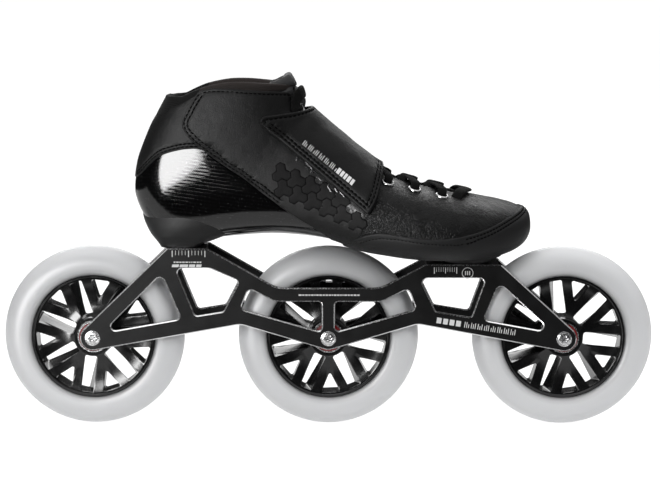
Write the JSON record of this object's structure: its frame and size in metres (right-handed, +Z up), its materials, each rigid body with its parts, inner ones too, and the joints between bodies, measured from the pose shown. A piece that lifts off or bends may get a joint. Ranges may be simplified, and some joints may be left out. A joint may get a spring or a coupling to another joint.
{
  "type": "inline speed skate",
  "caption": "Inline speed skate for the right foot: low leather boot on a carbon shell, machined frame and large wheels in line.",
  "frame": {"origin": "on the ground under the middle axle, in the middle plane of the frame", "axes": "+X towards the toe, +Y towards the inner (medial) side, +Z up"},
  "size_m": [0.45, 0.0956, 0.2485],
  "materials": {
    "urethane": "cast translucent urethane, satin",
    "core": "moulded, glossy",
    "anodised": "black anodised, fine grain, bare chamfered edges",
    "aluminium": "turned",
    "steel": "plated",
    "leather": "fine grain, slight sheen",
    "rand": "matt",
    "carbon": "clear-coated carbon weave",
    "lining": "soft microfibre",
    "lace": "braided and looped textile"
  },
  "bodies": {
    "boot_and_frame": {"frame": "anodised", "carbon_shell": "carbon", "insole": "lining", "lining": "lining", "tongue": "leather", "quarter_outer_side": "leather", "quarter_inner_side": "leather", "heel_counter": "leather", "vamp": "leather", "toe_rand": "rand", "hook_patch": "lace", "lace": "lace", "eyelet_inner_first": "steel", "eyelet_inner_fourth": "steel", "eyelet_inner_second": "steel", "eyelet_inner_third": "steel", "eyelet_inner_top": "steel", "eyelet_outer_first": "steel", "eyelet_outer_fourth": "steel", "eyelet_outer_second": "steel", "eyelet_outer_third": "steel", "eyelet_outer_top": "steel", "rear_boot_bolt": "steel", "rear_bolt_washer": "steel", "rear_threaded_insert": "steel", "front_boot_bolt": "steel", "front_bolt_washer": "steel", "front_threaded_insert": "steel", "rear_axle": "steel", "rear_bearing_spacer": "aluminium", "rear_inner_side_bearing_inner_ring": "steel", "rear_outer_side_bearing_inner_ring": "steel", "middle_axle": "steel", "middle_bearing_spacer": "aluminium", "middle_inner_side_bearing_inner_ring": "steel", "middle_outer_side_bearing_inner_ring": "steel", "front_axle": "steel", "front_bearing_spacer": "aluminium", "front_inner_side_bearing_inner_ring": "steel", "front_outer_side_bearing_inner_ring": "steel"},
    "rear_wheel": {"rear_tyre": "urethane", "rear_hub": "core", "rear_inner_side_bearing_outer_ring": "steel", "rear_outer_side_bearing_outer_ring": "steel"},
    "rear_balls": {"rear_inner_side_ball_cage": "steel", "rear_outer_side_ball_cage": "steel"},
    "middle_wheel": {"middle_tyre": "urethane", "middle_hub": "core", "middle_inner_side_bearing_outer_ring": "steel", "middle_outer_side_bearing_outer_ring": "steel"},
    "middle_balls": {"middle_inner_side_ball_cage": "steel", "middle_outer_side_ball_cage": "steel"},
    "front_wheel": {"front_tyre": "urethane", "front_hub": "core", "front_inner_side_bearing_outer_ring": "steel", "front_outer_side_bearing_outer_ring": "steel"},
    "front_balls": {"front_inner_side_ball_cage": "steel", "front_outer_side_ball_cage": "steel"},
    "strap": {"instep_strap": "leather"}
  },
  "joints": [
    {"name": "rear_wheel_spin", "type": "hinge", "parent": "boot_and_frame", "child": "rear_wheel", "pos_m": [-0.1625, 0, 0.0625], "axis": [0, 1, 0], "continuous": true},
    {"name": "rear_balls_roll", "type": "hinge", "parent": "boot_and_frame", "child": "rear_balls", "pos_m": [-0.1625, 0, 0.0625], "axis": [0, 1, 0], "continuous": true},
    {"name": "middle_wheel_spin", "type": "hinge", "parent": "boot_and_frame", "child": "middle_wheel", "pos_m": [0, 0, 0.0625], "axis": [0, 1, 0], "continuous": true},
    {"name": "middle_balls_roll", "type": "hinge", "parent": "boot_and_frame", "child": "middle_balls", "pos_m": [0, 0, 0.0625], "axis": [0, 1, 0], "continuous": true},
    {"name": "front_wheel_spin", "type": "hinge", "parent": "boot_and_frame", "child": "front_wheel", "pos_m": [0.1625, 0, 0.0625], "axis": [0, 1, 0], "continuous": true},
    {"name": "front_balls_roll", "type": "hinge", "parent": "boot_and_frame", "child": "front_balls", "pos_m": [0.1625, 0, 0.0625], "axis": [0, 1, 0], "continuous": true},
    {"name": "strap_open", "type": "hinge", "parent": "boot_and_frame", "child": "strap", "pos_m": [-0.0015, 0.0395, 0.1835], "axis": [-0.8383, 0, 0.5452], "range_deg": [0, 100]}
  ],
  "couplings": [
    {"joint": "rear_balls_roll", "follows": "rear_wheel_spin", "ratio": 0.632},
    {"joint": "middle_balls_roll", "follows": "middle_wheel_spin", "ratio": 0.632},
    {"joint": "front_balls_roll", "follows": "front_wheel_spin", "ratio": 0.632}
  ]
}
